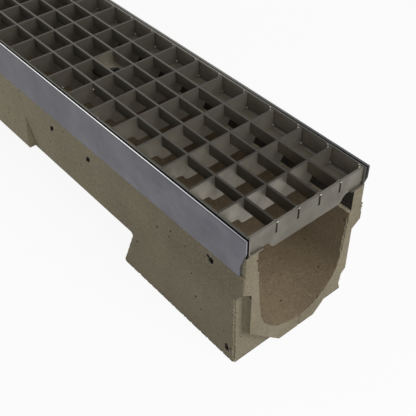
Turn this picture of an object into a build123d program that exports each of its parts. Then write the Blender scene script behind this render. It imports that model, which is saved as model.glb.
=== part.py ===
from build123d import *
import os

# One metre of trench drain: a polymer-concrete channel with a round invert and
# a stepped tongue-and-pocket joint, steel rails along both walls, and a steel
# grating of slotted crossbars and longitudinal bars that rests between them.
# X runs across the channel, Y along it, Z up. The origin is the middle of the
# footprint, on the ground. All sizes are millimetres.

# Module
run_length = 1000.0
overall_width = 129.0
overall_height = 150.0

# Concrete body
end_setback = 0.5
tongue_length = 9.0
joint_clearance = 1.0
bore_radius = 45.5
floor_thickness = 14.0
hull_ground_gap = 5.5
mouth_width = 98.0
rebate_depth = 1.8
rebate_height = 23.5
rebate_slope = 2.0
hull_width = 111.0
hull_flat_width = 41.0
hull_chamfer_rise = 35.0
hull_side_height = 46.5
hull_step_rise = 6.5
soffit_drop = 12.0
side_draft = 0.8
foot_top_length = 144.0
foot_slant = 20.0
notch_height = 50.0
notch_radius = 3.0
foot_toe_radius = 2.5
raise_start = 310.0
raise_out = 6.0
raise_height = 36.0
raise_lip = 5.0
raise_slant = 13.0
raise_root = 2.0

# Steel rails
plate_thickness = 2.0
plate_depth = 39.0
plate_end_height = 12.0
plate_end_slope = 17.0
plate_end_cut = 5.0
rail_gap = 1.5
seat_thickness = 1.2
seat_bend_radius = 3.0
seat_width = 14.4
seat_depth = 17.0

# Grating
grating_side_clearance = 0.5
grating_near_clearance = 1.5
crossbar_pitch = 33.1
crossbar_thickness = 2.0
crossbar_depth = 24.0
crossbar_corner_radius = 4.0
shoulder_clearance = 3.2
shoulder_run = 10.4
long_bar_count = 4
long_bar_spacing = 22.13
long_bar_thickness = 2.0
long_bar_depth = 11.0
long_bar_setback = 1.0
slot_clearance = 0.2

# Lock plates
lock_cell = 7
lock_plate_thickness = 3.0
lock_plate_overlap = 1.9
lock_hole_diameter = 9.5
lock_sink_diameter = 13.0

# Reach of the cutting shapes past what they cut, and slack for picking edges
cutter_reach = 10.0
edge_pick = 0.1

# Heights and half-widths that follow from the sizes above
half_width = overall_width / 2
seat_top = overall_height - seat_depth
wall_top = seat_top - seat_thickness
plate_bottom = overall_height - plate_depth
plate_inner = half_width - plate_thickness
seat_outer = plate_inner - rail_gap
seat_inner = seat_outer - seat_thickness
seat_edge = seat_outer - seat_width
hull_side_base = hull_ground_gap + hull_chamfer_rise
hull_side_top = hull_side_base + hull_side_height
shoulder_height = hull_side_top + hull_step_rise
soffit_base = shoulder_height - soffit_drop
bore_height = hull_ground_gap + floor_thickness + bore_radius
lip_height = wall_top - rebate_height
above_everything = overall_height + cutter_reach
beside_everything = half_width + raise_out + cutter_reach

# Stations along the run, counted from the near end of the rails
tongue_tip = end_setback
block_face = tongue_tip + tongue_length
wall_end = run_length - end_setback
collar_end = wall_end + tongue_length
footprint_middle = collar_end / 2

# Grating stations
crossbar_half = seat_inner - grating_side_clearance
first_crossbar = grating_near_clearance + crossbar_thickness / 2
crossbar_count = 1 + int((run_length - 2 * first_crossbar) / crossbar_pitch)
grating_length = (crossbar_count - 1) * crossbar_pitch + crossbar_thickness
long_bar_places = [
    (number - (long_bar_count - 1) / 2) * long_bar_spacing
    for number in range(long_bar_count)
]
lock_bars = (long_bar_places[1], long_bar_places[2])


def both_sides(right_half):
    """Close an outline from its right half, given from the bottom to the top."""
    left_half = [(-x, z) for x, z in reversed(right_half)]
    return Polyline(right_half + left_half, close=True)


def prism(outline, start, end):
    """Run a cross-section along the channel from one station to another."""
    face = Plane.XZ.offset(-start) * make_face(outline)
    return extrude(face, amount=start - end)


def side_prism(outline, left, right):
    """Run a side view across the channel from one X to another."""
    face = Plane.YZ.offset(left) * make_face(outline)
    return extrude(face, amount=right - left)


def block_half():
    """Right half of the full block's cross-section, with the rail's recess."""
    return [
        (half_width - side_draft, 0),
        (half_width, shoulder_height),
        (half_width, plate_bottom),
        (plate_inner, plate_bottom),
        (plate_inner, wall_top),
    ]


def hull_half(gap):
    """Right half of the hull under the upper walls, grown by a gap."""
    return [
        (hull_flat_width / 2 + gap / 2, hull_ground_gap - gap),
        (hull_width / 2 + gap, hull_side_base - gap / 2),
        (hull_width / 2 + gap, hull_side_top - gap / 2),
        (half_width + gap, shoulder_height - gap / 2),
    ]


def tongue_half():
    """Right half of the tongue's cross-section: hull and upper wall."""
    return hull_half(0) + [
        (half_width, plate_bottom),
        (plate_inner, plate_bottom),
        (plate_inner, wall_top),
    ]


def pocket_half():
    """Right half of the pocket that takes the next channel's tongue."""
    return hull_half(joint_clearance) + [(half_width + joint_clearance, above_everything)]


def trough_outline():
    """Round invert, drafted walls, and the shallow rebate under the seat."""
    mouth = mouth_width / 2
    invert = ThreePointArc(
        (-bore_radius, bore_height),
        (0, bore_height - bore_radius),
        (bore_radius, bore_height),
    )
    walls = Polyline(
        (bore_radius, bore_height),
        (mouth, lip_height),
        (mouth + rebate_depth, lip_height + rebate_slope),
        (mouth + rebate_depth, above_everything),
        (-mouth - rebate_depth, above_everything),
        (-mouth - rebate_depth, lip_height + rebate_slope),
        (-mouth, lip_height),
        (-bore_radius, bore_height),
    )
    return invert + walls


def notch_cutter():
    """The space under the sides between the two feet, with slanted ends."""
    near = foot_top_length
    far = run_length - foot_top_length
    lean = foot_slant / notch_height
    outline = Polyline(
        (near + foot_slant + lean * foot_toe_radius, -foot_toe_radius),
        (near, notch_height),
        (far, notch_height),
        (far - foot_slant - lean * foot_toe_radius, -foot_toe_radius),
        close=True,
    )
    cutter = side_prism(outline, -beside_everything, beside_everything)
    top_corners = cutter.edges().filter_by(Axis.X).group_by(Axis.Z)[-1]
    return fillet(top_corners, notch_radius)


def raised_panels():
    """The thicker stretch of both sides at mid-length, tapering out upwards."""
    base = notch_height
    lean_out = half_width - side_draft * (1 - base / shoulder_height)
    section = Polyline(
        (lean_out - raise_root, base),
        (half_width + raise_out, base),
        (half_width + raise_out, base + raise_lip),
        (lean_out - raise_root, base + raise_height + raise_lip),
        close=True,
    )
    near = raise_start
    far = run_length - raise_start
    top = base + raise_height + raise_lip
    side_view = Polyline(
        (near, base),
        (far, base),
        (far - raise_slant, top),
        (near + raise_slant, top),
        close=True,
    )
    right = prism(section, near, far)
    right = right & side_prism(side_view, 0, beside_everything)
    return right, mirror(right, Plane.YZ)


def channel_body():
    """The cast polymer-concrete channel, one solid."""
    block = prism(both_sides(block_half()), block_face, collar_end)
    block = block - notch_cutter()
    toes = block.edges().filter_by(Axis.X).group_by(Axis.Z)[0]
    inner_toes = toes.filter_by_position(
        Axis.Y, foot_top_length / 2, run_length - foot_top_length / 2
    )
    block = fillet(inner_toes, foot_toe_radius)

    soffit = Polyline(
        (tongue_tip, shoulder_height),
        (block_face, shoulder_height),
        (block_face, soffit_base),
        close=True,
    )
    overhang = side_prism(soffit, -half_width, half_width)
    tongue = prism(both_sides(tongue_half()), tongue_tip, wall_end)
    body = block + tongue + overhang
    for panel in raised_panels():
        body = body + panel

    past_end = collar_end + joint_clearance
    slope_drop = soffit_drop * joint_clearance / tongue_length
    collar_top = Polyline(
        (wall_end, above_everything),
        (wall_end, shoulder_height - joint_clearance),
        (past_end, soffit_base - joint_clearance - slope_drop),
        (past_end, above_everything),
        close=True,
    )
    body = body - side_prism(collar_top, -beside_everything, beside_everything)
    body = body - prism(both_sides(pocket_half()), wall_end, past_end)
    return body - prism(trough_outline(), -joint_clearance, past_end)


def edge_plate():
    """Right-hand outer rail: a flat plate whose lower end corners are cut back."""
    slope_top = overall_height - plate_end_height
    slope_base = slope_top - plate_end_slope
    outline = Polyline(
        (0, overall_height),
        (0, slope_top),
        (plate_end_cut, slope_base),
        (plate_end_cut, plate_bottom),
        (run_length - plate_end_cut, plate_bottom),
        (run_length - plate_end_cut, slope_base),
        (run_length, slope_top),
        (run_length, overall_height),
        close=True,
    )
    return side_prism(outline, plate_inner, half_width)


def seat_angle():
    """Right-hand inner rail: a folded angle that carries the grating's ends."""
    outline = Polyline(
        (seat_outer, overall_height),
        (seat_outer, wall_top),
        (seat_edge, wall_top),
        (seat_edge, seat_top),
        (seat_inner, seat_top),
        (seat_inner, overall_height),
        close=True,
    )
    angle = prism(outline, 0, run_length)
    for place, radius in (
        (seat_inner, seat_bend_radius),
        (seat_outer, seat_bend_radius + seat_thickness),
    ):
        upright_edges = angle.edges().filter_by(Axis.Y).filter_by_position(
            Axis.X, place - edge_pick, place + edge_pick
        )
        angle = fillet(upright_edges.group_by(Axis.Z)[0], radius)
    return angle


def shoulder_curve(side):
    """The S-shaped step from the seated end of a crossbar to its full depth."""
    outer = side * (seat_edge - shoulder_clearance)
    inner = side * (seat_edge - shoulder_clearance - shoulder_run)
    bar_bottom = overall_height - crossbar_depth
    middle = ((outer + inner) / 2, (seat_top + bar_bottom) / 2)
    upper = TangentArc((outer, seat_top), middle, tangent=(-side, 0))
    lower = TangentArc((inner, bar_bottom), middle, tangent=(side, 0))
    return upper + lower


def crossbar():
    """A crossbar at the near end of the run, slotted for the long bars."""
    outer = seat_edge - shoulder_clearance
    inner = outer - shoulder_run
    bar_bottom = overall_height - crossbar_depth
    ends = Polyline(
        (outer, seat_top),
        (crossbar_half, seat_top),
        (crossbar_half, overall_height),
        (-crossbar_half, overall_height),
        (-crossbar_half, seat_top),
        (-outer, seat_top),
    )
    belly = Line((-inner, bar_bottom), (inner, bar_bottom))
    outline = ends + shoulder_curve(1) + shoulder_curve(-1) + belly
    bar = prism(outline, -crossbar_thickness / 2, crossbar_thickness / 2)
    lower_corners = bar.edges().filter_by(Axis.Y).filter_by_position(
        Axis.Z, seat_top - edge_pick, seat_top + edge_pick
    )
    outer_corners = lower_corners.group_by(Axis.X)[0] + lower_corners.group_by(Axis.X)[-1]
    bar = fillet(outer_corners, crossbar_corner_radius)
    for place in long_bar_places:
        slot = Box(
            long_bar_thickness + slot_clearance,
            crossbar_thickness + cutter_reach,
            long_bar_depth,
            align=(Align.CENTER, Align.CENTER, Align.MAX),
        )
        bar = bar - Pos(place, 0, overall_height) * slot
    return bar


def long_bar():
    """A longitudinal bar, set back a little in the slots of both end crossbars."""
    length = grating_length - 2 * long_bar_setback
    bar = Box(
        long_bar_thickness,
        length,
        long_bar_depth,
        align=(Align.CENTER, Align.MIN, Align.MAX),
    )
    return Pos(0, grating_near_clearance + long_bar_setback, overall_height) * bar


def lock_plate(cell):
    """A countersunk plate under two long bars, between two crossbars."""
    near = first_crossbar + cell * crossbar_pitch + crossbar_thickness / 2
    far = near + crossbar_pitch - crossbar_thickness
    top = overall_height - long_bar_depth
    width = lock_bars[1] - lock_bars[0] + long_bar_thickness + 2 * lock_plate_overlap
    plate = Box(
        width,
        far - near,
        lock_plate_thickness,
        align=(Align.CENTER, Align.CENTER, Align.MAX),
    )
    hole = Cylinder(lock_hole_diameter / 2, lock_plate_thickness + 2 * cutter_reach)
    sink_depth = (lock_sink_diameter - lock_hole_diameter) / 2
    sink = Cone(
        lock_hole_diameter / 2,
        lock_sink_diameter / 2,
        sink_depth,
        align=(Align.CENTER, Align.CENTER, Align.MAX),
    )
    return Pos(0, (near + far) / 2, top) * (plate - hole - sink)


def place_in_frame(piece):
    """Move a piece from run stations to the frame centred on the footprint."""
    return Pos(0, -footprint_middle, 0) * piece


def build_parts():
    """Every piece of the drain by name."""
    right_plate = edge_plate()
    right_seat = seat_angle()
    parts = {
        "channel_body": channel_body(),
        "right_edge_plate": right_plate,
        "left_edge_plate": mirror(right_plate, Plane.YZ),
        "right_seat_angle": right_seat,
        "left_seat_angle": mirror(right_seat, Plane.YZ),
    }
    pattern_bar = crossbar()
    for number in range(crossbar_count):
        station = first_crossbar + number * crossbar_pitch
        parts[f"crossbar_{number + 1:02d}"] = Pos(0, station, 0) * pattern_bar
    pattern_long_bar = long_bar()
    for number, place in enumerate(long_bar_places):
        parts[f"long_bar_{number + 1}"] = Pos(place, 0, 0) * pattern_long_bar
    parts["near_lock_plate"] = lock_plate(lock_cell)
    parts["far_lock_plate"] = lock_plate(crossbar_count - 2 - lock_cell)
    return parts


os.makedirs("parts", exist_ok=True)
for name, piece in build_parts().items():
    export_step(place_in_frame(piece), f"parts/{name}.step")
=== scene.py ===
import math

import bmesh
import bpy
from mathutils import Matrix, Vector, noise


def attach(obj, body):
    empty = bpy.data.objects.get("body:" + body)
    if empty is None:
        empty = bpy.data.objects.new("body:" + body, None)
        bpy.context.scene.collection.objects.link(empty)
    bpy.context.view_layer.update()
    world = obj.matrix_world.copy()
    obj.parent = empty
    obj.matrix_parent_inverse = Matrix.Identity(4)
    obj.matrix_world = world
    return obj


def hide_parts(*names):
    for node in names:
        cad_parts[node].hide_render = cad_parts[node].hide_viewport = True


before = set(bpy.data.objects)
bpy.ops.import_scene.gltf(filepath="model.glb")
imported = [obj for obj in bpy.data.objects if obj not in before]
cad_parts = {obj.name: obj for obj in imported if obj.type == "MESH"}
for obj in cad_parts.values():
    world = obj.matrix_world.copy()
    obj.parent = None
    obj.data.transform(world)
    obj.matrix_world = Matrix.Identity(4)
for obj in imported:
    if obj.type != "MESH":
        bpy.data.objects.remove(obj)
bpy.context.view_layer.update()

# The grating, in millimetres, as in the source
CROSSBAR_PITCH = 33.1
CROSSBAR_COUNT = 31
CROSSBAR_THICKNESS = 2.0
FIRST_CROSSBAR = 1.5
LONG_BAR_PITCH = 22.13

# The casting, in metres: half the width of the feet, how far the sides lean out up to the
# shoulder's height, and the trough with its round bottom, sloping walls and ledge
FOOT_HALF_WIDTH = 0.0637
SIDE_LEAN = 0.0008
SHOULDER_HEIGHT = 0.0935
BORE_RADIUS = 0.0455
BORE_HEIGHT = 0.065
WALL_SLOPE = 0.081
LEDGE_HEIGHT = 0.1075
LEDGE_WIDTH = 0.0020

# The casting's materials, by their place in its list
OUTSIDE, INSIDE, ARRIS, RECESS_SHADE = range(4)

# Edges sharper than the first angle wear; those flatter than the second are shaded smooth.
ARRIS_ANGLE = math.radians(25)
SMOOTH_ANGLE = math.radians(40)
ARRIS_WIDTH = 0.0009

LEFT, RIGHT = -1, 1

# Where the near end of the rails lies along the run, in metres. Stations count from it.
STATION_ZERO = -0.50425


def at(station_mm):
    """Y of a station given in millimetres."""
    return STATION_ZERO + station_mm / 1000


# The tongue's tip, and how far the near end's heavier wear and pale arrises reach
TONGUE_TIP = at(0.5)
NEAR_END = at(13)


# Materials

def new_material(name):
    """An empty node material with its output and shader, and its object coordinates."""
    material = bpy.data.materials.new(name)
    material.use_nodes = True
    tree = material.node_tree
    tree.nodes.clear()
    output = tree.nodes.new("ShaderNodeOutputMaterial")
    shader = tree.nodes.new("ShaderNodeBsdfPrincipled")
    tree.links.new(shader.outputs[0], output.inputs[0])
    place = tree.nodes.new("ShaderNodeTexCoord").outputs["Object"]
    return material, tree, shader, place


def stretched(tree, place, scale):
    """Coordinates multiplied along each axis, for grain that runs one way."""
    mapping = tree.nodes.new("ShaderNodeMapping")
    mapping.inputs["Scale"].default_value = scale
    tree.links.new(place, mapping.inputs["Vector"])
    return mapping.outputs[0]


def noise_map(tree, place, scale, detail=2.0, rough=0.55):
    """Smooth noise from 0 to 1."""
    node = tree.nodes.new("ShaderNodeTexNoise")
    node.inputs["Scale"].default_value = scale
    node.inputs["Detail"].default_value = detail
    node.inputs["Roughness"].default_value = rough
    tree.links.new(place, node.inputs["Vector"])
    return node.outputs["Fac"]


def cells(tree, place, scale):
    """Grains: the distance to each cell's centre and the cell's own random colour."""
    node = tree.nodes.new("ShaderNodeTexVoronoi")
    node.inputs["Scale"].default_value = scale
    node.inputs["Randomness"].default_value = 1.0
    tree.links.new(place, node.inputs["Vector"])
    return node.outputs["Distance"], node.outputs["Color"]


def ramp(tree, value, low, high, start=0.0, end=1.0):
    """Map low..high to start..end, clamped."""
    node = tree.nodes.new("ShaderNodeMapRange")
    node.inputs["From Min"].default_value = low
    node.inputs["From Max"].default_value = high
    node.inputs["To Min"].default_value = start
    node.inputs["To Max"].default_value = end
    tree.links.new(value, node.inputs["Value"])
    return node.outputs[0]


def maths(tree, kind, first, second):
    """A math node on two sockets or numbers."""
    node = tree.nodes.new("ShaderNodeMath")
    node.operation = kind
    for place, value in enumerate((first, second)):
        if isinstance(value, (int, float)):
            node.inputs[place].default_value = value
        else:
            tree.links.new(value, node.inputs[place])
    return node.outputs[0]


def times(tree, first, second):
    """Two sockets or numbers multiplied. For two shares, only what is in both counts."""
    return maths(tree, "MULTIPLY", first, second)


def mix(tree, share, first, second, kind="MIX"):
    """Mix two colours, each a tuple or a socket."""
    node = tree.nodes.new("ShaderNodeMix")
    node.data_type = "RGBA"
    node.blend_type = kind
    for name, value in (("Factor", share), ("A", first), ("B", second)):
        sockets = [s for s in node.inputs if s.name == name and s.enabled]
        if isinstance(value, (int, float)):
            sockets[0].default_value = value
        elif isinstance(value, tuple):
            sockets[0].default_value = (*value, 1)
        else:
            tree.links.new(value, sockets[0])
    return [s for s in node.outputs if s.enabled][0]


def part_of(tree, vector, axis):
    """One component of a vector."""
    node = tree.nodes.new("ShaderNodeSeparateXYZ")
    tree.links.new(vector, node.inputs[0])
    return node.outputs[axis]


def from_middle_plane(tree, place, axis):
    """Distance from the middle, across the run for axis 0 and along it for axis 1."""
    return maths(tree, "ABSOLUTE", part_of(tree, place, axis), 0.0)


def facing(tree, axis):
    """How much a surface faces along an axis, from its own normal."""
    node = tree.nodes.new("ShaderNodeNewGeometry")
    return part_of(tree, node.outputs["Normal"], axis)


def on_top(tree):
    """Share of a surface that is a flat top."""
    return ramp(tree, facing(tree, 2), 0.93, 0.985)


def on_front(tree, full=1.0):
    """Share of a surface that faces the near end."""
    return ramp(tree, facing(tree, 1), -0.5, -0.8, 0.0, full)


def on_right(tree, place):
    """1 on the right-hand side, 0 on the left."""
    return ramp(tree, part_of(tree, place, 0), -0.001, 0.001)


def turned_out(tree, place, low, high):
    """Share of a surface that faces away from the middle, or towards it for negative numbers."""
    return ramp(tree, times(tree, facing(tree, 0), part_of(tree, place, 0)), low, high)


def bump(tree, shader, height, distance):
    """Relief from a height map."""
    node = tree.nodes.new("ShaderNodeBump")
    node.inputs["Distance"].default_value = distance
    node.inputs["Strength"].default_value = 1.0
    tree.links.new(height, node.inputs["Height"])
    tree.links.new(node.outputs[0], shader.inputs["Normal"])


def colour(red, green, blue):
    """A colour written in the 0 to 255 numbers of a picture."""
    def straight(value):
        value = value / 255
        return value / 12.92 if value <= 0.04045 else ((value + 0.055) / 1.055) ** 2.4
    return (straight(red), straight(green), straight(blue))


def scaled(tone, factor):
    """A colour made darker or lighter, at most white."""
    return tuple(min(1, part * factor) for part in tone)


def along_run(tree, place, start, stop, near, far):
    """A colour that changes along the run, from one station to another."""
    return mix(tree, ramp(tree, part_of(tree, place, 1), at(start), at(stop)), near, far)


# Painted shade, near black, for the narrow gaps beside the rails and the lock plates' holes
GAP_SHADE = colour(20, 20, 21)
OLIVE_PATCH = colour(252, 255, 232)


def gap_shade_tone(tree, place):
    """Painted shade between the rails: black on the left, grey and paler with distance on the
    right.
    """
    right = along_run(tree, place, 10, 170, colour(84, 83, 79), colour(166, 163, 155))
    return mix(tree, on_right(tree, place), GAP_SHADE, right)


def outside_tones(tree, place, tone, light, pale):
    """The outside's slow changes: painted light paler towards mid-length, and painted light on the
    front faces behind the tongue and on the tongue's left side near its root.
    """
    along = part_of(tree, place, 1)
    # Painted light: paler towards mid-length
    share = ramp(tree, from_middle_plane(tree, place, 1), 0.42, 0.17, 0.0, 0.92)
    tone = mix(tree, share, tone, pale)
    marks = noise_map(tree, stretched(tree, place, (9, 120, 9)), 1.0, 2)
    marks = times(tree, ramp(tree, marks, 0.55, 0.7, 0.0, 0.4), share)
    tone = mix(tree, marks, tone, light)
    # Painted light on the front faces behind the tongue
    end_face = times(tree, ramp(tree, along, at(5), at(8)), on_front(tree, 0.6))
    tone = mix(tree, end_face, tone, light)
    # Painted light on the tongue's left side towards its root
    root = ramp(tree, along, at(2.5), at(8), 0.0, 0.5)
    root = times(tree, root, ramp(tree, along, at(9.3), at(9.5), 1.0, 0.0))
    root = times(tree, root, ramp(tree, from_middle_plane(tree, place, 0), 0.0622, 0.0616))
    root = times(tree, root, ramp(tree, facing(tree, 0), -0.5, -0.8))
    return mix(tree, root, tone, colour(176, 167, 142))


def concrete(name, dark, light, grain, pore_share, relief, pale=None):
    """Cast polymer concrete: sand grains, cloudy tone, faint streaks, air pores with painted
    shade, and painted shade along the foot and in the gap by the rails.
    """
    material, tree, shader, place = new_material(name)
    cloud = noise_map(tree, place, 14, 4)
    tone = mix(tree, ramp(tree, cloud, 0.35, 0.65), dark, light)
    patch = ramp(tree, noise_map(tree, place, 22, 2), 0.45, 0.7, 0.0, 0.3)
    tone = mix(tree, patch, tone, OLIVE_PATCH, "MULTIPLY")
    if pale:
        tone = outside_tones(tree, place, tone, light, pale)
    streak = noise_map(tree, stretched(tree, place, (20, 160, 9)), 1.0, 3)
    tone = mix(tree, ramp(tree, streak, 0.55, 0.75, 0.0, 0.35), tone, light)
    sand = part_of(tree, cells(tree, place, 900)[1], 0)
    tone = mix(tree, ramp(tree, sand, 0.0, 0.25, 0.75, 0.0), tone, scaled(dark, 1 - grain))
    tone = mix(tree, ramp(tree, sand, 0.8, 1.0, 0.0, 0.75), tone, scaled(light, 1 + grain))
    # Painted shade in the air pores
    pore_distance, pore_colour = cells(tree, place, 170)
    chosen = ramp(tree, part_of(tree, pore_colour, 1), 1 - pore_share, 1 - pore_share * 0.8)
    pore = times(tree, ramp(tree, pore_distance, 0.10, 0.17, 1.0, 0.0), chosen)
    tone = mix(tree, times(tree, pore, 0.8), tone, scaled(dark, 0.16))
    height = part_of(tree, place, 2)
    # Painted shade along the foot, where it meets the floor
    foot_shade = ramp(tree, height, 0.0, 0.0016, 0.65, 0.0)
    tone = mix(tree, foot_shade, tone, scaled(dark, 0.2))
    # Painted shade on the concrete in the gap beside the rails
    in_gap = ramp(tree, from_middle_plane(tree, place, 0), 0.0600, 0.0606)
    in_gap = times(tree, ramp(tree, height, 0.1312, 0.1316), in_gap)
    tone = mix(tree, in_gap, tone, gap_shade_tone(tree, place))
    tree.links.new(tone, shader.inputs["Base Color"])
    shader.inputs["Roughness"].default_value = 0.9
    shader.inputs["Specular IOR Level"].default_value = 0.25
    fine = noise_map(tree, place, 1500, 2)
    relief_map = maths(tree, "ADD", times(tree, fine, 0.5), times(tree, sand, 0.5))
    relief_map = maths(tree, "SUBTRACT", relief_map, times(tree, pore, 3.0))
    bump(tree, shader, relief_map, relief)
    return material


def new_steel(name, base, dirt, grain=(30, 6, 30)):
    """Start a steel sheet's material: cloudy tone, fine mottling, faint marks along the run."""
    material, tree, shader, place = new_material(name)
    cloud = noise_map(tree, place, 38, 4, 0.6)
    tone = mix(tree, ramp(tree, cloud, 0.38, 0.66), base, dirt)
    mottle = noise_map(tree, place, 260, 2)
    tone = mix(tree, ramp(tree, mottle, 0.5, 0.75, 0.0, 0.25), tone, dirt)
    lines = noise_map(tree, stretched(tree, place, grain), 12, 3)
    tone = mix(tree, ramp(tree, lines, 0.5, 0.8, 0.0, 0.3), tone, scaled(base, 1.3))
    return material, tree, shader, place, cloud, tone


def finish_steel(tree, shader, place, cloud, tone, metallic, rough):
    """Close a steel sheet's material with its gloss and fine relief."""
    tree.links.new(tone, shader.inputs["Base Color"])
    shader.inputs["Metallic"].default_value = metallic
    roughness = ramp(tree, cloud, 0.3, 0.7, rough - 0.06, rough + 0.08)
    tree.links.new(roughness, shader.inputs["Roughness"])
    bump(tree, shader, noise_map(tree, place, 420, 3), 0.00005)


def edge_plate_finish():
    """Edge rails: a painted highlight on the left one's rim, dull on the right, painted shade in
    the gap.

    Each rail is 62.5 to 64.5 mm from the middle. The left one's rim has painted shade on its inner
    part, a painted highlight in the middle and a dim outer corner.
    """
    material, tree, shader, place, cloud, tone = new_steel(
        "edge_plate_steel", colour(100, 99, 106), colour(93, 92, 99), (4, 2, 30))
    across = from_middle_plane(tree, place, 0)
    tone = along_run(tree, place, 124.25, 284.25, tone, colour(86, 85, 92))
    # Painted highlight on the middle of the left rail's near end, painted shade on its inner part
    # and on the right rail's near end
    lit = times(tree, ramp(tree, across, 0.0629, 0.0631), ramp(tree, across, 0.0637, 0.0635))
    left_end = mix(tree, ramp(tree, across, 0.0628, 0.0631), GAP_SHADE, colour(90, 89, 97))
    left_end = mix(tree, lit, left_end, colour(160, 160, 165))
    end_tone = mix(tree, on_right(tree, place), left_end, colour(36, 37, 40))
    tone = mix(tree, on_front(tree), tone, end_tone)
    # Painted highlight along the left rail's rim, brighter further along the run, with painted
    # shade on its inner part
    line = along_run(tree, place, 10, 60, colour(140, 140, 145), colour(192, 192, 196))
    line = along_run(tree, place, 60, 160, line, colour(250, 250, 251))
    left_top = mix(tree, ramp(tree, across, 0.0635, 0.0638), line, colour(70, 70, 76))
    left_top = mix(tree, ramp(tree, across, 0.0627, 0.0629), GAP_SHADE, left_top)
    right_top = along_run(tree, place, 70, 170, colour(78, 80, 81), colour(106, 105, 102))
    top = mix(tree, on_right(tree, place), left_top, right_top)
    tone = mix(tree, on_top(tree), tone, top)
    # Painted shade on the faces turned to the middle, in the gap
    tone = mix(tree, turned_out(tree, place, -0.006, -0.02), tone, gap_shade_tone(tree, place))
    finish_steel(tree, shader, place, cloud, tone, 0.8, 0.42)
    return material


def seat_angle_finish():
    """Seat angles: olive flange, painted shade on the fold, thin dull rim, painted shade on the
    right one's near end and on the side that faces the edge rail.
    """
    material, tree, shader, place, cloud, tone = new_steel(
        "seat_angle_steel", colour(112, 106, 96), colour(94, 89, 78))
    upward = facing(tree, 2)
    # Painted shade on the fold
    fold = times(tree, ramp(tree, upward, 0.1, 0.3), ramp(tree, upward, 0.98, 0.9))
    tone = mix(tree, fold, tone, colour(58, 55, 48))
    tone = mix(tree, on_top(tree), tone, colour(84, 80, 69))
    right_rim = along_run(tree, place, 70, 170, colour(68, 66, 61), colour(118, 115, 108))
    left_rim = along_run(tree, place, 70, 170, colour(60, 60, 55), colour(88, 87, 80))
    rim = mix(tree, on_right(tree, place), left_rim, right_rim)
    at_rim = ramp(tree, part_of(tree, place, 2), 0.1490, 0.1496)
    tone = mix(tree, at_rim, tone, rim)
    # Painted shade on the right seat angle's near end faces
    tone = mix(tree, times(tree, on_right(tree, place), on_front(tree)), tone, colour(50, 48, 44))
    # Painted shade on the side turned to the edge rail
    tone = mix(tree, turned_out(tree, place, 0.006, 0.02), tone, gap_shade_tone(tree, place))
    finish_steel(tree, shader, place, cloud, tone, 0.25, 0.5)
    return material


def grating_finish(name, base, dirt, pale, far, near_top, far_top):
    """Grating bars: tones that change towards the middle, a painted reflection beside the lock
    plates, dull end bars painted darker towards their middle, and painted shade on the tops and
    the upturned edges.
    """
    material, tree, shader, place, cloud, tone = new_steel(name, base, dirt)
    along = part_of(tree, place, 1)
    from_middle = from_middle_plane(tree, place, 1)
    across = from_middle_plane(tree, place, 0)
    blotch = ramp(tree, cloud, 0.38, 0.66)
    pale = mix(tree, blotch, pale, scaled(pale, 0.64))
    tone = mix(tree, ramp(tree, from_middle, 0.4687, 0.405), tone, pale)
    far = mix(tree, blotch, far, scaled(far, 0.64))
    tone = mix(tree, ramp(tree, from_middle, 0.36, 0.22), tone, far)
    # Painted reflection: the crossbar faces beside the lock plates are paler
    lock_reflection_paint = times(tree, ramp(tree, along, at(265), at(265.5)),
                       ramp(tree, along, at(268.5), at(268)))
    lock_reflection_paint = times(tree, lock_reflection_paint, ramp(tree, across, 0.0112, 0.0106, 0.0, 0.3))
    tone = mix(tree, lock_reflection_paint, tone, colour(186, 180, 158))
    end_bars = maths(tree, "MAXIMUM", ramp(tree, along, at(4.75), at(3.75)),
                     ramp(tree, along, at(993.25), at(994.25)))
    dull = mix(tree, blotch, colour(124, 120, 110), colour(100, 96, 87))
    # Painted shade towards the middle of the end bars
    dull = mix(tree, ramp(tree, across, 0.034, 0.012, 0.0, 0.5), dull, colour(90, 86, 76))
    tone = mix(tree, end_bars, tone, dull)
    # Painted shade on the rounded edges that face up, except on the end bars
    upward = ramp(tree, facing(tree, 2), 0.3, 0.55)
    upturned_edge_shade = times(tree, upward, maths(tree, "SUBTRACT", 1.0, end_bars))
    tone = mix(tree, upturned_edge_shade, tone, colour(56, 53, 48))
    # Painted shade: the tops are darker than the faces, most of all near the ends
    top = mix(tree, ramp(tree, from_middle, 0.49, 0.26), near_top, far_top)
    top = mix(tree, end_bars, top, colour(97, 93, 87))
    tone = mix(tree, on_top(tree), tone, top)
    finish_steel(tree, shader, place, cloud, tone, 0.85, 0.42)
    return material


def lock_plate_finish():
    """Lock plates: light on top, painted shade in the hole and on every face but the top, dark on
    the strip left of the long bars.
    """
    material, tree, shader, place, cloud, tone = new_steel(
        "lock_plate_steel", colour(134, 129, 118), colour(110, 106, 95))
    # Painted shade, near black, on every face but the top, so the hole shows dark
    tone = mix(tree, on_top(tree), GAP_SHADE, tone)
    left_strip = ramp(tree, part_of(tree, place, 0), -0.0112, -0.0118)
    tone = mix(tree, left_strip, tone, colour(52, 49, 44))
    finish_steel(tree, shader, place, cloud, tone, 0.8, 0.42)
    return material


def weld_finish():
    """Weld beads: paler than the bars they join; the paleness is a painted highlight for the
    bright spots at the joints.
    """
    material, tree, shader, place, cloud, tone = new_steel(
        "weld_glint_steel", colour(166, 163, 152), colour(132, 128, 118))
    finish_steel(tree, shader, place, cloud, tone, 0.8, 0.4)
    return material


outside = concrete("cast_outside", colour(112, 104, 87), colour(128, 120, 101), 0.16, 0.06, 0.0003,
                   colour(142, 134, 112))
arris = concrete("cast_arris", colour(138, 130, 110), colour(172, 164, 144), 0.3, 0.1, 0.0005)
inside = concrete("cast_inside", colour(108, 94, 75), colour(124, 110, 89), 0.26, 0.08, 0.0004)
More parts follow.
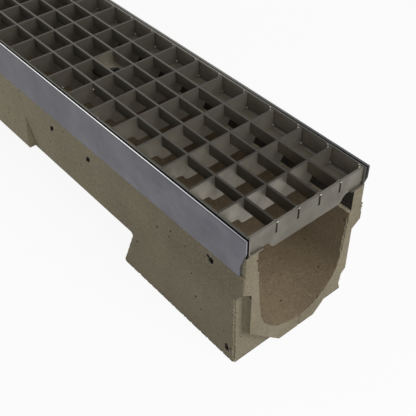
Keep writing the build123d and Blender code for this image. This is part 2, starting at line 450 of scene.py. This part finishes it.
# Painted shade for the wall set back above the ledge and for the air holes' walls
recess_shade = concrete("cast_recess_shade", colour(44, 42, 38), colour(54, 51, 45), 0.3, 0.1, 0.0005)
plate_steel = edge_plate_finish()
seat_steel = seat_angle_finish()
crossbar_steel = grating_finish("crossbar_steel", colour(142, 137, 126), colour(116, 112, 102),
                                colour(158, 153, 141), colour(133, 128, 117),
                                colour(60, 57, 52), colour(70, 66, 61))
# The long bars are darker near the ends: painted shade where the front lamp lights their sides
long_bar_steel = grating_finish("long_bar_steel", colour(104, 98, 86), colour(86, 80, 70),
                                colour(122, 118, 108), colour(122, 118, 108),
                                colour(50, 47, 43), colour(88, 84, 78))
lock_steel = lock_plate_finish()
weld_glint_steel = weld_finish()


# Pieces

def add_object(name, data):
    """A new object in the scene."""
    made = bpy.data.objects.new(name, data)
    bpy.context.scene.collection.objects.link(made)
    return made


def object_from(name, bm):
    """Turn a bmesh into an object in the scene."""
    data = bpy.data.meshes.new(name)
    bm.to_mesh(data)
    bm.free()
    return add_object(name, data)


def mesh_piece(name, bm, materials):
    """Make a piece from a bmesh, riding on the one body."""
    piece = object_from(name, bm)
    for material in materials:
        piece.data.materials.append(material)
    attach(piece, "root")
    return piece


def lumpy(bm, centre, size, turn, seed, rough=0.25, detail=3):
    """An irregular blob, for a pit to be cut or a weld bead."""
    made = bmesh.ops.create_icosphere(bm, subdivisions=detail, radius=1.0)
    for vert in made["verts"]:
        shift = noise.noise(vert.co * 1.7 + Vector((seed, seed * 2.3, 0)))
        vert.co *= 1 + rough * shift
        vert.co = Vector(c * s for c, s in zip(vert.co, size))
        vert.co = turn @ vert.co + Vector(centre)


def pit_cutter():
    """Blobs where the casting has air holes, and each hole's centre and reach, to paint shade on
    its wall.

    An air hole is (side, station, z, across, up, lean, depth), a shallow pock in the near end
    (x, station, z, across, up, lean), both in mm and degrees. A row of chips along an arris is
    (start, end, count, reach) in metres.
    """
    pits = [
        (LEFT, 266.6, 96.0, 2.2, 4.4, 42, 3.5),
        (LEFT, 206.3, 96.0, 2.4, 4.0, 40, 3.5),
        (LEFT, 18.8, 13.4, 2.4, 4.6, -4, 4.4),
        (LEFT, 16.2, 11.0, 1.0, 1.2, 30, 2.5),
        (LEFT, 13.8, 15.4, 1.1, 1.2, 0, 2.2),
        (LEFT, 37.2, 102.4, 2.8, 3.5, 20, 4.0),
        (LEFT, 40.6, 104.6, 1.9, 1.6, 0, 3.0),
        (LEFT, 57.5, 42.2, 1.1, 1.2, 0, 2.0),
        (LEFT, 139.2, 44.0, 1.0, 1.2, 0, 2.0),
        (LEFT, 105.8, 86.9, 0.9, 1.0, 0, 1.8),
        (LEFT, 87.5, 95.8, 0.9, 0.9, 0, 1.8),
        (LEFT, 62.2, 66.8, 0.8, 0.8, 0, 1.6),
        (LEFT, 90.3, 87.2, 0.7, 0.8, 0, 1.4),
        (LEFT, 132.3, 75.1, 0.6, 0.6, 0, 1.2),
        (RIGHT, 91.0, 71.0, 1.2, 1.8, 14, 2.4),
        (RIGHT, 230.0, 88.0, 0.9, 1.4, 30, 2.0),
        (RIGHT, 401.0, 97.0, 1.4, 2.6, 20, 3.0),
        (RIGHT, 688.0, 84.0, 1.2, 1.5, -20, 2.2),
        (RIGHT, 902.0, 42.0, 1.4, 2.6, -16, 3.0),
        (RIGHT, 947.0, 66.0, 0.9, 1.0, 0, 2.0),
        (LEFT, 435.0, 100.0, 1.3, 2.8, 18, 3.0),
        (LEFT, 741.0, 96.0, 1.6, 3.2, 24, 3.0),
        (LEFT, 920.0, 33.0, 1.3, 2.2, 12, 2.6),
    ]
    bm = bmesh.new()
    holes = []
    for number, (side, station, z, across, up, lean, depth) in enumerate(pits):
        height = z / 1000
        x = side * (FOOT_HALF_WIDTH + SIDE_LEAN * min(1, height / SHOULDER_HEIGHT))
        holes.append((Vector((x, at(station), height)), 1.2 * max(across, up, depth) / 1000))
        size = (depth / 1000, across / 1000, up / 1000)
        turn = Matrix.Rotation(math.radians(lean), 3, "X")
        lumpy(bm, (x, at(station), height), size, turn, number * 7.1)
    pocks = [
        (-58.2, 0.5, 86.6, 1.1, 1.4, 0),
        (-63.3, 0.5, 126.1, 0.5, 0.7, 0),
        (-51.7, 0.5, 122.4, 0.9, 1.2, 0),
        (54.0, 0.5, 62.0, 0.6, 0.6, 0),
        (-36.0, 0.5, 30.5, 0.5, 0.5, 0),
        (2.2, 0.5, 13.5, 0.40, 9.0, 12),
        (0.4, 0.5, 19.0, 1.1, 1.5, 20),
        (2.4, 0.5, 6.3, 1.0, 1.1, 0),
        (33.0, 9.5, 9.0, 0.8, 0.7, 0),
        (-57.0, 9.5, 30.0, 0.6, 0.9, 0),
    ]
    # One deeper chip in the tongue's left side
    lumpy(bm, (-0.0556, at(2.6), 0.0842), (0.0018, 0.0017, 0.0024), Matrix.Identity(3), 290)
    for number, (x, station, z, across, up, lean) in enumerate(pocks):
        size = (across / 1000, 0.0012, up / 1000)
        turn = Matrix.Rotation(math.radians(lean), 3, "Y")
        lumpy(bm, (x / 1000, at(station), z / 1000), size, turn, 300 + number * 3.7)
    arrises = [
        ((-0.0636, at(9.7), 0.003), (-0.0643, at(9.7), 0.084), 34, 0.0017),
        ((0.0636, at(9.7), 0.003), (0.0643, at(9.7), 0.084), 30, 0.0015),
        ((-0.0487, at(0.7), 0.107), (-0.0457, at(0.7), 0.066), 18, 0.0010),
        ((0.0487, at(0.7), 0.107), (0.0457, at(0.7), 0.066), 26, 0.0012),
        ((0.0640, at(0.7), 0.100), (0.0640, at(0.7), 0.122), 9, 0.0010),
        ((-0.0640, at(9.4), 0.0001), (-0.0640, at(9.6), 0.0001), 1, 0.0021),
        ((-0.0643, at(0.7), 0.096), (-0.0643, at(0.7), 0.110), 5, 0.0009),
        ((-0.0636, at(12), 0.0001), (-0.0636, at(155), 0.0001), 16, 0.0009),
        ((0.0636, at(12), 0.0001), (0.0636, at(155), 0.0001), 14, 0.0009),
        ((-0.0640, at(144.5), 0.048), (-0.0635, at(160), 0.010), 9, 0.0012),
    ]
    for row, (start, end, count, reach) in enumerate(arrises):
        for number in range(count):
            seed = row * 57.3 + number * 3.1
            slide = (number + 0.5 + 0.8 * noise.noise(Vector((seed, 1.7, 0)))) / count
            size = 0.45 + 0.9 * abs(noise.noise(Vector((seed, 9.2, 4)))) + 0.25
            place = Vector(start).lerp(Vector(end), slide)
            stretch = 1 + 1.2 * abs(noise.noise(Vector((seed, 2.2, 8))))
            shape = (reach * size, reach * size, reach * size * stretch)
            if abs(end[1] - start[1]) > 0.02:
                shape = (reach * size, reach * size * stretch, reach * size)
            lumpy(bm, place, shape, Matrix.Identity(3), 500 + seed, 0.35, 2)
    return object_from("pit_cutter", bm), holes


def in_hole(face, holes):
    """Whether a small face belongs to the wall of an air hole."""
    if face.calc_perimeter() > 0.004:
        return False
    place = face.calc_center_median()
    return any((place - centre).length < reach for centre, reach in holes)


def cut_pits(bm):
    """Cut the air holes out of the casting; gives the holes' places too."""
    casting = object_from("casting", bm)
    cutter, holes = pit_cutter()
    step = casting.modifiers.new("pits", "BOOLEAN")
    step.object = cutter
    step.operation = "DIFFERENCE"
    step.solver = "EXACT"
    step.use_self = True
    graph = bpy.context.evaluated_depsgraph_get()
    result = bmesh.new()
    result.from_mesh(casting.evaluated_get(graph).to_mesh())
    bpy.data.objects.remove(casting)
    bpy.data.objects.remove(cutter)
    return result, holes


def split_arris(edge, step):
    """Put points along an edge without cutting the faces beside it."""
    count = max(1, round(edge.calc_length() / step))
    start, end = edge.verts
    for number in range(count - 1):
        added, start = bmesh.utils.edge_split(edge, start, 1 / (count - number))
        edge = added if end in added.verts else edge


def on_trough(face):
    """Whether a face belongs to the round invert or the walls above it."""
    return abs(face.normal.y) < 0.5 and all(in_trough(vert.co) for vert in face.verts)


def in_trough(point):
    """Whether a point is on the wall of the round invert or the walls above it."""
    if abs(point.x) > 0.0512 or point.z < 0.0185:
        return False
    reach = BORE_RADIUS + 0.0008
    if point.z < BORE_HEIGHT:
        return math.hypot(point.x, point.z - BORE_HEIGHT) < reach
    ledge = LEDGE_WIDTH if point.z > LEDGE_HEIGHT else 0
    return abs(point.x) < reach + (point.z - BORE_HEIGHT) * WALL_SLOPE + ledge


def near_trough(point):
    """Whether a point is close to the trough's wall below the ledge, seen along the run."""
    reach = 0.0015
    if point.z < BORE_HEIGHT:
        return abs(math.hypot(point.x, point.z - BORE_HEIGHT) - BORE_RADIUS) < reach
    wall = BORE_RADIUS + (point.z - BORE_HEIGHT) * WALL_SLOPE
    return point.z < LEDGE_HEIGHT + 0.0005 and abs(abs(point.x) - wall) < reach


def beside_plate_corner(face):
    """Whether a face is the bare wall next to the edge rail's cut corner."""
    place = face.calc_center_median()
    return place.y < at(5.2) and place.z > 0.1115 and abs(face.normal.x) > 0.8


def trough_material(face):
    """Brown in the trough, pale on the ledge, painted shade on the wall set back above it."""
    low = min(vert.co.z for vert in face.verts)
    if low > LEDGE_HEIGHT + 0.0020:
        return RECESS_SHADE
    return ARRIS if low > LEDGE_HEIGHT + 0.0003 else INSIDE


def sharp_edges(bm):
    """The casting's outer edges, where it wears."""
    return [edge for edge in bm.edges if len(edge.link_faces) == 2 and edge.is_convex
            and edge.calc_face_angle() > ARRIS_ANGLE]


def arris_step(edge):
    """Spacing of the points along an arris: close at the near end, wide elsewhere."""
    middle = (edge.verts[0].co + edge.verts[1].co) / 2
    if middle.y < at(14):
        return 0.0016
    return 0.004 if middle.y < at(200) else 0.009


def worn(vert, near_end):
    """How a point on an arris has moved in: small chips, deeper at the near end."""
    p = vert.co
    chip = noise.noise(Vector((p.x * 260, p.y * 260, p.z * 260)))
    small = noise.noise(Vector((p.x * 900 + 5, p.y * 900, p.z * 900)))
    depth = 0.00010 + 0.00030 * max(0.0, chip) + 0.00012 * small
    if near_end:
        depth += 0.0006 * max(0.0, chip + 0.1) + 0.0002 * max(0.0, small)
    return -vert.normal * max(0.0, depth)


def rim_wave(p):
    """The wavy line where the mould's core met the end of the casting."""
    wave = noise.noise(Vector((p.x * 190, 3.3, p.z * 190)))
    wave += 0.5 * noise.noise(Vector((p.x * 520, 7.7, p.z * 520)))
    outward = Vector((p.x, 0, min(0.0, p.z - BORE_HEIGHT))).normalized()
    return outward * 0.0006 * wave


def body_skin():
    """The casting with worn arrises and air holes, in place of the plain solid."""
    bm = bmesh.new()
    bm.from_mesh(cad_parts["channel_body"].data)
    bmesh.ops.remove_doubles(bm, verts=bm.verts[:], dist=2e-6)
    bmesh.ops.dissolve_limit(bm, angle_limit=math.radians(0.4), verts=bm.verts[:],
                             edges=bm.edges[:], use_dissolve_boundaries=False)
    cuts = (2.4, 5, 12, 40, 120, 250, 400, 550, 700, 850, 980)
    for station in cuts:
        bmesh.ops.bisect_plane(bm, geom=bm.verts[:] + bm.edges[:] + bm.faces[:], dist=1e-6,
                               plane_co=(0, at(station), 0), plane_no=(0, 1, 0))
    for edge in sharp_edges(bm):
        split_arris(edge, arris_step(edge))
    corners = sharp_edges(bm)
    bm.normal_update()
    made = bmesh.ops.bevel(bm, geom=corners, offset=ARRIS_WIDTH, offset_type="OFFSET", segments=2,
                           profile=0.5, affect="EDGES", clamp_overlap=True, material=ARRIS)
    rounded = set(made["faces"])
    bm.normal_update()
    moves = []
    for vert in set(made["verts"]):
        near_end = vert.co.y < NEAR_END
        move = Vector((0, 0, 0))
        if all(face in rounded for face in vert.link_faces):
            move += worn(vert, near_end)
        if vert.co.y < TONGUE_TIP + 0.0005 and near_trough(vert.co):
            move += rim_wave(vert.co)
        moves.append((vert, move))
    for vert, move in moves:
        vert.co += move
    for face in bm.faces:
        face.smooth = face in rounded or on_trough(face)
    bm, holes = cut_pits(bm)
    bm.normal_update()
    for edge in bm.edges:
        if len(edge.link_faces) == 2:
            first, second = edge.link_faces
            same = first.material_index == second.material_index
            edge.smooth = same and edge.calc_face_angle(0) < SMOOTH_ANGLE
    for face in bm.faces:
        if face.material_index != ARRIS and on_trough(face):
            face.material_index = trough_material(face)
        elif beside_plate_corner(face):
            face.material_index = ARRIS
        elif face.calc_center_median().y > NEAR_END:
            # Painted shade on the walls of the air holes
            face.material_index = RECESS_SHADE if in_hole(face, holes) else OUTSIDE
    piece = mesh_piece("channel_casting", bm, [outside, inside, arris, recess_shade])
    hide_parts("channel_body")


def dress(node_name, material, edge=0.00025):
    """Give a CAD node its material and softly rounded edges."""
    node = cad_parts[node_name]
    node.data.materials.clear()
    node.data.materials.append(material)
    step = node.modifiers.new("edges", "BEVEL")
    step.width = edge
    step.segments = 2
    step.limit_method = "ANGLE"
    step.angle_limit = SMOOTH_ANGLE


def grating_welds():
    """Small weld beads, pale as a painted highlight, at the long bars, the crossbars' ends and the
    lock plates.

    Each bead is (x, station, z, across, along, up) in mm.
    """
    bm = bmesh.new()
    beads = []
    for number in range(4):
        x = (number - 1.5) * LONG_BAR_PITCH
        beads.append((x + 0.9, 1.7, 149.0, 1.3, 0.5, 0.8))
        beads.append((x - 1.7, 4.1, 148.6, 0.7, 0.7, 0.7))
        beads.append((x - 1.9, 996.1, 149.0, 1.0, 0.7, 0.7))
    for number in range(CROSSBAR_COUNT):
        front = FIRST_CROSSBAR + number * CROSSBAR_PITCH
        back = front + CROSSBAR_THICKNESS
        beads.append((-58.7, back + 0.7, 146.6, 1.0, 1.1, 2.6))
        beads.append((58.8, back + 1.4, 146.4, 1.1, 1.7, 2.8))
        beads.append((59.9, back + 3.2, 149.2, 0.6, 1.3, 0.6))
        if number > 0:
            beads.append((58.7, front - 0.5, 134.4, 0.8, 0.9, 1.1))
    beads.append((12.9, 252.5, 139.5, 0.8, 2.4, 0.9))
    beads.append((12.9, 743.5, 139.5, 0.8, 2.4, 0.9))
    beads.append((-34.6, 232.9, 143.2, 1.1, 0.7, 1.2))
    beads.append((34.9, 729.3, 143.4, 1.0, 0.7, 1.1))
    beads.append((-53.1, 199.6, 140.0, 1.2, 0.6, 0.9))
    beads.append((-46.6, 266.2, 133.8, 0.9, 0.7, 0.8))
    for number, (x, station, z, across, along, up) in enumerate(beads):
        size = (across / 1000, along / 1000, up / 1000)
        place = (x / 1000, at(station), z / 1000)
        lumpy(bm, place, size, Matrix.Identity(3), 900 + number * 5.3, 0.3, 2)
    for face in bm.faces:
        face.smooth = True
    mesh_piece("grating_welds", bm, [weld_glint_steel])


body_skin()
grating_welds()
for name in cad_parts:
    if name.endswith("edge_plate"):
        dress(name, plate_steel, 0.00045)
    elif name.endswith("seat_angle"):
        dress(name, seat_steel)
    elif name.endswith("lock_plate"):
        dress(name, lock_steel)
    elif name.startswith("crossbar"):
        dress(name, crossbar_steel, 0.00035)
    elif name.startswith("long_bar"):
        dress(name, long_bar_steel, 0.00035)


# Floor, lights and camera

def seen_by_camera(tree):
    """1 for the camera's own rays and those that a mirror or glass sends on."""
    path = tree.nodes.new("ShaderNodeLightPath")
    seen = maths(tree, "MAXIMUM", path.outputs["Is Camera Ray"], path.outputs["Is Glossy Ray"])
    return maths(tree, "MAXIMUM", seen, path.outputs["Is Transmission Ray"])


def blend(tree, share, first, second, output):
    """Send a blend of two shaders to an output."""
    node = tree.nodes.new("ShaderNodeMixShader")
    for place, socket in enumerate((share, first.outputs[0], second.outputs[0])):
        tree.links.new(socket, node.inputs[place])
    tree.links.new(node.outputs[0], output.inputs[0])


def white_for_camera(material, strength):
    """A pale floor that the camera and reflections see near white, with its shadow kept."""
    tree = material.node_tree
    tree.nodes.clear()
    output = tree.nodes.new("ShaderNodeOutputMaterial")
    diffuse = tree.nodes.new("ShaderNodeBsdfDiffuse")
    diffuse.inputs["Color"].default_value = (0.62, 0.62, 0.62, 1)
    glow = tree.nodes.new("ShaderNodeEmission")
    glow.inputs["Color"].default_value = (1, 1, 1, 1)
    glow.inputs["Strength"].default_value = 1.0
    blend(tree, times(tree, seen_by_camera(tree), strength), diffuse, glow, output)


def make_floor():
    """A wide plain floor under the feet."""
    bm = bmesh.new()
    bmesh.ops.create_grid(bm, x_segments=1, y_segments=1, size=6)
    floor = object_from("floor", bm)
    material = bpy.data.materials.new("floor_white")
    material.use_nodes = True
    white_for_camera(material, 0.92)
    floor.data.materials.append(material)


def make_world(level):
    """Even light from all round; the camera and reflections see white."""
    world = bpy.data.worlds.new("studio")
    bpy.context.scene.world = world
    world.use_nodes = True
    tree = world.node_tree
    tree.nodes.clear()
    output = tree.nodes.new("ShaderNodeOutputWorld")
    light = tree.nodes.new("ShaderNodeBackground")
    light.inputs["Strength"].default_value = level
    white = tree.nodes.new("ShaderNodeBackground")
    white.inputs["Strength"].default_value = 1.0
    for node in (light, white):
        node.inputs["Color"].default_value = (1, 1, 1, 1)
    blend(tree, seen_by_camera(tree), light, white, output)


def soft_light(name, place, target, size, power):
    """A square soft box aimed at a point."""
    data = bpy.data.lights.new(name, "AREA")
    data.shape = "SQUARE"
    data.size = size
    data.energy = power
    lamp = add_object(name, data)
    lamp.location = place
    aim = Vector(target) - Vector(place)
    lamp.rotation_mode = "QUATERNION"
    lamp.rotation_quaternion = aim.to_track_quat("-Z", "Y")


def make_camera():
    """The photograph's camera, fitted to the object's known lengths."""
    data = bpy.data.cameras.new("camera")
    data.lens = 66.86
    data.sensor_width = 36.0
    data.clip_start = 0.05
    data.clip_end = 50
    camera = add_object("camera", data)
    right = Vector((0.7643052, -0.6448304, -0.0055933))
    up = Vector((0.4421791, 0.5177535, 0.7323995))
    back = Vector((-0.4693775, -0.5622500, 0.6808522))
    turn = Matrix((right, up, back)).transposed().to_4x4()
    camera.matrix_world = Matrix.Translation((-0.32415, -0.77499, 0.53125)) @ turn
    bpy.context.scene.camera = camera


make_floor()
make_world(0.30)
soft_light("front_key", (0.05, -1.4, 0.85), (0, -0.45, 0.1), 0.9, 15.5)
soft_light("left_fill", (-0.8, 0.8, 0.35), (0, -0.1, 0.08), 0.6, 4.5)
soft_light("top_fill", (0.0, 0.1, 1.6), (0, 0, 0.1), 1.2, 4)
make_camera()
bpy.context.scene.view_settings.view_transform = "Standard"
